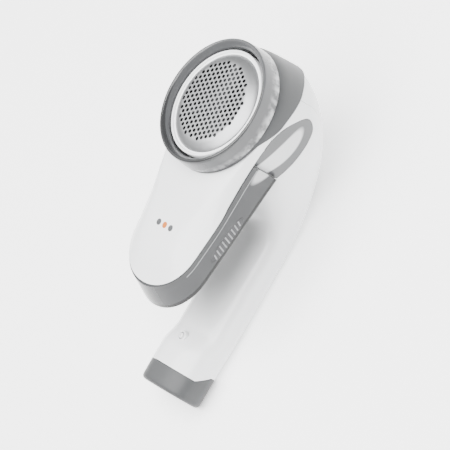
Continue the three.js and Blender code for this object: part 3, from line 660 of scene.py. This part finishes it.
def beads(name, runs, radius):
    """Raised lines of round section that lie on the bin's flanks, made from runs of (x, z)."""
    made = []
    for side in (-1, 1):
        for run in runs:
            shape = bpy.data.curves.new("tool", "CURVE")
            shape.dimensions = "3D"
            shape.bevel_depth = radius / 1000
            shape.bevel_resolution = 3
            shape.use_fill_caps = True
            closed = run[0] == run[-1]
            points = run[:-1] if closed else run
            line = shape.splines.new("POLY")
            line.points.add(len(points) - 1)
            line.use_cyclic_u = closed
            for point, (x, z) in zip(line.points, points):
                point.co = (*place(x, side * (flank(x, z) - radius * 0.35), z), 1)
            bead = bpy.data.objects.new("bead", shape)
            bpy.context.collection.objects.link(bead)
            made.append(bead)
    bpy.ops.object.select_all(action="DESELECT")
    for bead in made:
        bead.select_set(True)
    bpy.context.view_layer.objects.active = made[0]
    bpy.ops.object.convert(target="MESH")
    bpy.ops.object.join()
    bead = bpy.context.object
    bead.name = name
    bead.data.name = name
    tidy(bead)
    return smooth(bead)


grip_middle, grip_low, grip_half_x, grip_half_z = 76.5, 51.6, 12.6, 2.5
rib_pitch, rib_share, rib_lean = 2.4, 0.85, 0.6
oval_grip = oval(grip_middle, grip_low, grip_half_x, grip_half_z)
ribs = []
for step in range(-4, 5):
    x = grip_middle + step * rib_pitch
    half = rib_share * grip_half_z * math.sqrt(1 - ((x - grip_middle) / grip_half_x) ** 2)
    ribs.append([(x - rib_lean, grip_low - half), (x + rib_lean, grip_low + half)])
grip_rim = beads("drawer_grip_rim", [oval_grip + oval_grip[:1]], 0.4)
dress(grip_rim, smoked_san)
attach(grip_rim, "lint_bin")
grip_ribs = beads("drawer_grip_ribs", ribs, 0.42)
# The same SAN, painted lighter for the grip's ribs and the lip: a painted highlight for the light that they
# gather.
highlit_san, shader, where = new_material("highlit_san", IOR=1.57)
moulded(highlit_san, shader, where, "#737476", "#939496", 1.6, 0.16, 0.1)
dress(grip_ribs, highlit_san)
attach(grip_ribs, "lint_bin")

lip_drop, lip_radius = 2.6, 0.2
lip_ends = [(52, rim_base), *rim[1:4], (111.5, 63.4)]
lip = beads("drawer_lip", [[(x, z - lip_drop) for x, z in curved(lip_ends, 60)]], lip_radius)
dress(lip, highlit_san)
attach(lip, "lint_bin")


# ---- Side inserts
# A leaf-shaped smoked cover on each side of the head, above the neck, where the bin's line runs
# out. It is a thin curved moulding snapped into a shallow pocket. It looks light because the white
# body is just behind it, and that light is painted into its colour as an oval of painted light.

insert_wall = 1.2
# Smoked SAN over white: pale grey and glossy, with soft darker streaks where it is moulded thicker.
pale_san, shader, where = new_material("pale_san", IOR=1.57)
moulded(pale_san, shader, where, "#3c3d3e", "#606163", 3.0, 0.16, 0.1)
# Painted light: a light oval in the insert's colour, for the white body seen through the smoke.
paint_white_seen_through(pale_san, shader, where)
for side, low, high in (("right", -60, 0), ("left", 0, 60)):
    insert = drum(head_radius, 0, 100, head_x, sides=192)
    cut(insert, drum(head_radius - insert_wall, -1, 101, head_x, sides=192))
    kept(insert, leaf(0), block((0, low, 0), (200, high, 100)))
    insert.name = "insert_" + side
    insert.data.name = insert.name
    smooth(insert)
    dress(insert, pale_san)
    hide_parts("side_insert_" + side)
    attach(insert, "body")


# ---- Head collar
# The opaque grey ring of ABS that crowns the head. Its upper edge is level with the foil's seat,
# and its lower edge sweeps down the far side of the head and thins out towards the panel.

collar_over, collar_flange = 0.1, 1.0
# Each level's height, how far it stands out from the head, and how far its middle is shifted.
collar_levels = [(40, 0.4, 0.4), (49, 0.35, 0.35), (58, 0.2, 0.2), (62, 0.05, 0.05), (65, -0.1, -0.1),
                 (67, -0.5, -0.4), (68.6, -1.0, -0.8), (69.6, -1.5, -1.1), (72.5, -2.0, -1.2)]
collar_radius = head_radius + collar_over
collar_rings = [circle(collar_radius + out, z, head_x + shift, 0, 192) for z, out, shift in collar_levels]
collar = lofted("collar", collar_rings)
kept(collar, leant(block((40, -60, 0), (190, 60, collar_top))))
under_flange = leant(block((40, -60, 0), (190, 60, collar_top - collar_flange)))
cut(collar, kept(drum(pocket_radius, 0, 100, head_x), under_flange))
cut(collar, leant(drum(mouth_radius, 0, 100, head_x)))
kept(collar, above_collar_edge(0))
smooth(collar)
dress(collar, grey_abs)
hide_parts("head_collar")
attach(collar, "body")


# ---- Ring round the foil
# A smoked SAN ring that turns to lock the foil and sets the cutting height. Its flank is smooth
# outside and ribbed inside, with blobs of painted light near its foot where the ribs show through,
# and a band of painted shade along its top edge. Its rim slopes in to the foil.


def turned(name, profile, sides=128):
    """A closed outline of (radius, z) spun about the head's axis."""
    bpy.ops.object.select_all(action="DESELECT")
    bpy.ops.mesh.primitive_circle_add(vertices=len(profile), fill_type="NOTHING", radius=0.001)
    obj = bpy.context.object
    obj.name = name
    obj.data.name = name
    bm = in_edit_mode(obj)
    bm.verts.ensure_lookup_table()
    for vert, (radius, z) in zip(bm.verts, profile):
        vert.co = place(head_x + radius, 0, z)
    bmesh.update_edit_mesh(obj.data)
    bpy.ops.mesh.select_all(action="SELECT")
    bpy.ops.mesh.spin(steps=sides, angle=2 * math.pi, center=place(head_x, 0, 0), axis=(0, 0, 1))
    return tidy(obj, merge=1e-6)


ring_top, ring_low = 80.2, collar_top + 0.3
ring_inside, lip_inside = 30.2, 29.0
ring_flank = [(ring_inside, ring_low), (32.6, ring_low), (32.78, ring_low + 0.3), (32.72, ring_low + 3),
              (32.5, ring_top - 4)]
ring_rim = curved([(32.4, ring_top - 1.4), (32.2, ring_top - 0.55), (31.7, ring_top - 0.1),
                   (31.1, ring_top - 0.1), (30.5, ring_top - 0.5), (29.6, ring_top - 1.9),
                   (lip_inside, ring_top - 3.0)], 24)
ring_under = [(lip_inside, ring_top - 4.6), (ring_inside, ring_top - 5.1)]
cover = turned("twist_ring", ring_flank + ring_rim + ring_under)
ring_ribs, rib_half = 24, 0.7
for k in range(ring_ribs):
    turn = Matrix.Rotation(2 * math.pi * k / ring_ribs, 4, "Z")
    rib = block((29.5 + head_x, -rib_half, ring_low + 0.4), (30.5 + head_x, rib_half, ring_top - 5.0))
    middle = Matrix.Translation(place(head_x, 0, 0))
    rib.data.transform(middle @ turn @ middle.inverted())
    joined(cover, rib)
leant(smooth(cover))
# The ring's SAN. Near its foot, blobs of painted light stand for the light that its inner ribs and the collar
# below throw into it.
ring_san, shader, where = new_material("ring_san", IOR=1.57)
shader.inputs["Transmission Weight"].default_value = 0.2
moulded(ring_san, shader, where, "#3e3f40", "#606163", 3.2, 0.15, 0.2)
link = ring_san.node_tree.links.new
split = add_node(ring_san, "ShaderNodeSeparateXYZ", [(where, "Vector")])
# Painted shade: a darker band along the ring's rounded top edge, where it turns away.
painted_shade_band(ring_san, shader, where, ring_top - 0.5, ring_top + 3, 0.5, "#303132")
# Painted light: light blobs near the ring's foot, for what its inner ribs and the collar below throw into it.
low = add_node(ring_san, "ShaderNodeMapRange", [(split.outputs["Z"], "Value")],
               values={"From Min": place(0, 0, ring_low + 0.5).z, "From Max": place(0, 0, ring_low + 5.0).z,
                       "To Min": 1.0, "To Max": 0.0})
blobs = add_node(ring_san, "ShaderNodeTexNoise", [(where, "Vector")], values={"Scale": 260.0, "Detail": 3.0})
spots = add_node(ring_san, "ShaderNodeMapRange", [(blobs.outputs["Fac"], "Value")],
                 values={"From Min": 0.42, "From Max": 0.68})
light_patch_mask = add_node(ring_san, "ShaderNodeMath", [(low.outputs["Result"], 0), (spots.outputs["Result"], 1)],
                operation="MULTIPLY")
painted_light_patches = add_node(ring_san, "ShaderNodeMix", [(light_patch_mask.outputs["Value"], "Factor")], data_type="RGBA")
link(shader.inputs["Base Color"].links[0].from_socket, painted_light_patches.inputs["A"])
painted_light_patches.inputs["B"].default_value = linear("#c4c5c6")
link(painted_light_patches.outputs["Result"], shader.inputs["Base Color"])
dress(cover, ring_san)
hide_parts("net_cover")
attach(cover, "net_cover")


# ---- Foil ring
# The bright white hoop that carries the foil. It stands just inside the twist ring, and its top
# edge is rounded.

hoop_inside, hoop_outside, hoop_low = 25.4, 27.6, 70.0
hoop_section = [(hoop_inside, hoop_low), (hoop_outside, hoop_low), (hoop_outside, 76.6), (27.45, 77.0),
                (27.1, 77.2), (26.7, 77.1), (26.45, 76.8), (26.3, 76.2), (hoop_inside, 76.2)]
hoop = turned("foil_hoop", hoop_section)
smooth(hoop)
leant(hoop)
# ABS from a mirror-polished mould: whiter and glossier than the body round it.
white_gloss, shader, where = new_material("white_gloss_abs", IOR=1.53)
moulded(white_gloss, shader, where, "#e9eaeb", "#f6f6f7", 2.0, 0.12, 0.05)
dress(hoop, white_gloss)
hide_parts("foil_ring")
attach(hoop, "foil_unit")


# ---- Foil
# A domed sheet of thin steel, drawn down at its edge and punched all over with round holes that
# take in the pills of fluff. The cutter runs just beneath it.

foil_top, foil_rim, foil_thick = 79.8, 76.1, 0.35
dome = curved([(0, foil_top), (10, foil_top - 0.1), (18, foil_top - 0.25), (20.6, foil_top - 0.55),
               (23.4, foil_top - 2.0), (25.0, foil_rim + 0.5), (25.1, foil_rim)], 40)
under = [(max(r - 0.12, 0), z - foil_thick) for r, z in dome[1:]][::-1]
sheet = turned("foil_dome", dome + under + [(0, foil_top - foil_thick)], 96)
pitch, hole_radius, punched_radius = 2.75, 0.98, 20.4
tools = []
rows = 8
for a in range(-rows, rows + 1):
    for b in range(-rows, rows + 1):
        x, y = pitch * (a + b / 2), pitch * b * math.sqrt(0.75)
        if math.hypot(x, y) < punched_radius:
            tools.append(drum(hole_radius, foil_top - 4, foil_top + 1, head_x + x, y, 12))
bpy.ops.object.select_all(action="DESELECT")
for tool in tools:
    tool.select_set(True)
bpy.context.view_layer.objects.active = tools[0]
bpy.ops.object.join()
cut(sheet, bpy.context.object)
smooth(sheet, 25)
leant(sheet)
# Etched stainless strip: bright, with the soft satin of a chemical bath and a faint unevenness.
stainless, shader, where = new_material("etched_stainless", Metallic=1.0)
moulded(stainless, shader, where, "#8b8c8e", "#bfc0c1", 2.2, 0.4, 0.25)
dress(sheet, stainless)
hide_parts("foil")
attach(sheet, "foil_unit")


# ---- Battery cap
# The grey end cap that is pulled off to change the cells. Its end is rounded all round, and a
# tongue runs forward along the back of the handle.

cap_wall, cap_gap = 1.5, 0.3
cap_round = [(0, 2.3), (0.12, 1.5), (0.5, 0.8), (1.1, 0.3), (1.9, 0.06), (2.6, 0), (10.8, 0), (16.8, 0)]


def cap_ring(x, inset, count=96):
    ends, *sizes = handle_station(0)
    station = (Vector((x, ends[0].y)), Vector((x, ends[1].y))), *sizes
    return [section_point(station, 2 * math.pi * i / count, inset) for i in range(count)]


end_cap = lofted("end_cap", [cap_ring(x, inset) for x, inset in cap_round])
cap_inside = [(cap_wall, 2.1), (cap_wall + 1, cap_wall), (60, cap_wall)]
cut(end_cap, lofted("tool", [cap_ring(x, inset) for x, inset in cap_inside]))
front_edge, back_edge = cap_front - cap_gap, cap_back - cap_gap
cut(end_cap, pushed([(front_edge, cap_step - cap_gap), (front_edge, 50), (50, 50), (50, -10),
                     (back_edge, -10), (back_edge, cap_knee - cap_gap)]))
smooth(end_cap)
dress(end_cap, grey_abs)
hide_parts("battery_cap")
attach(end_cap, "battery_cap")


# ---- Works inside
# The cutter, motor, cells, contacts, leads and screws. They are plain bought-in parts, kept as
# they are and given the finish of what they are made of.

# Ground tool steel: hard bright edges with fine scratches.
ground_steel, shader, where = new_material("ground_steel", Metallic=1.0)
moulded(ground_steel, shader, where, "#b9bbbd", "#d5d7d9", 0.6, 0.25, 0.3)
# Black glass-filled nylon: dull, with a fine grain.
nylon, shader, where = new_material("black_nylon", IOR=1.53)
moulded(nylon, shader, where, "#2c2d2f", "#3b3c3e", 0.5, 0.55, 0.3)
# Bare brass lugs, gone a little dull.
bare_brass, shader, where = new_material("bare_brass", Metallic=1.0)
moulded(bare_brass, shader, where, "#b98a4c", "#cfa262", 0.6, 0.3, 0.2)
# Shrink-wrapped cell sleeve: black film, smooth and shiny.
sleeve, shader, where = new_material("cell_sleeve", IOR=1.5)
moulded(sleeve, shader, where, "#1d1d1f", "#2b2b2d", 1.5, 0.25, 0.1)
# Extruded PVC insulation on the leads, red and black, with a soft waxy sheen.
red_pvc, shader, where = new_material("red_pvc", IOR=1.53)
moulded(red_pvc, shader, where, "#a4241c", "#b53025", 0.6, 0.4, 0.15)
black_pvc, shader, where = new_material("black_pvc", IOR=1.53)
moulded(black_pvc, shader, where, "#1e1e1f", "#29292a", 0.6, 0.4, 0.15)
finish_of = {"steel": ground_steel, "motor_can": stainless, "dark_plastic": nylon, "brass": bare_brass,
             "cell_sleeve": sleeve, "red_insulation": red_pvc, "black_insulation": black_pvc,
             "grey_plastic": grey_abs, "white_plastic": white_abs, "smoke_plastic": smoked_san,
             "foil_steel": stainless}
slots = {part["node"]: part["material_slot"] for part in frame["record"]["subparts"]}
for name, obj in frame["nodes"].items():
    dress(obj, finish_of[slots[name]])


# ---- Studio
# A pale table, a soft room, and large soft lights. The camera looks down on the shaver from a
# long way off, turned so that the handle runs up the frame.

bpy.ops.object.select_all(action="DESELECT")
floor_drop = 0.0002  # keeps the table just clear of the planed back
bpy.ops.mesh.primitive_plane_add(size=6, location=(0, 0, -floor_drop))
floor = bpy.context.object
floor.name = "table_top"
# Matt white laminate, lit from within so that it stays an even white.
laminate, shader, where = new_material("white_laminate", Roughness=0.9)
moulded(laminate, shader, where, "#fbfbfb", "#ffffff", 3.0, 0.9, 0.02)
shader.inputs["Emission Color"].default_value = (1, 1, 1, 1)
shader.inputs["Emission Strength"].default_value = 0.9
dress(floor, laminate)

world = bpy.data.worlds.new("studio")
bpy.context.scene.world = world
world.use_nodes = True
sky = world.node_tree.nodes["Background"]
sky.inputs["Color"].default_value = (1, 1, 1, 1)
sky.inputs["Strength"].default_value = 0.7

target = Vector((-0.00016, -0.0226, 0.0523))  # the middle of the frame
shift_right, shift_up = 0.00150, 0.00100  # how far the object stands right of it and above it


def soft_light(name, where, size, power):
    lamp = bpy.data.lights.new(name, "AREA")
    lamp.shape = "RECTANGLE"
    lamp.size, lamp.size_y = size
    lamp.energy = power
    obj = bpy.data.objects.new(name, lamp)
    bpy.context.collection.objects.link(obj)
    obj.location = where
    obj.rotation_euler = (target - obj.location).to_track_quat("-Z", "Y").to_euler()


soft_light("over_head", (-0.1, -0.15, 1.15), (1.5, 1.5), 66)
soft_light("far_side", (0, 0.95, 0.85), (1.4, 0.9), 5)
soft_light("near_side", (0.15, -0.7, 0.9), (0.4, 0.4), 2)

right, up, back_way = Vector((0.5, -0.565, -0.656)), Vector((0.866, 0.326, 0.379)), Vector((0, -0.758, 0.652))
shot = Matrix((right, up, back_way)).transposed()
lens_distance, frame_width, sensor = 5.0, 0.2115, 36.0
camera_data = bpy.data.cameras.new("camera")
camera_data.sensor_width = sensor
camera_data.lens = sensor * lens_distance / frame_width
camera_data.clip_start, camera_data.clip_end = 0.1, 12
camera = bpy.data.objects.new("camera", camera_data)
bpy.context.collection.objects.link(camera)
aim = target - right.normalized() * shift_right - up.normalized() * shift_up
camera.matrix_world = Matrix.Translation(aim + back_way * lens_distance) @ shot.to_4x4()
bpy.context.scene.camera = camera
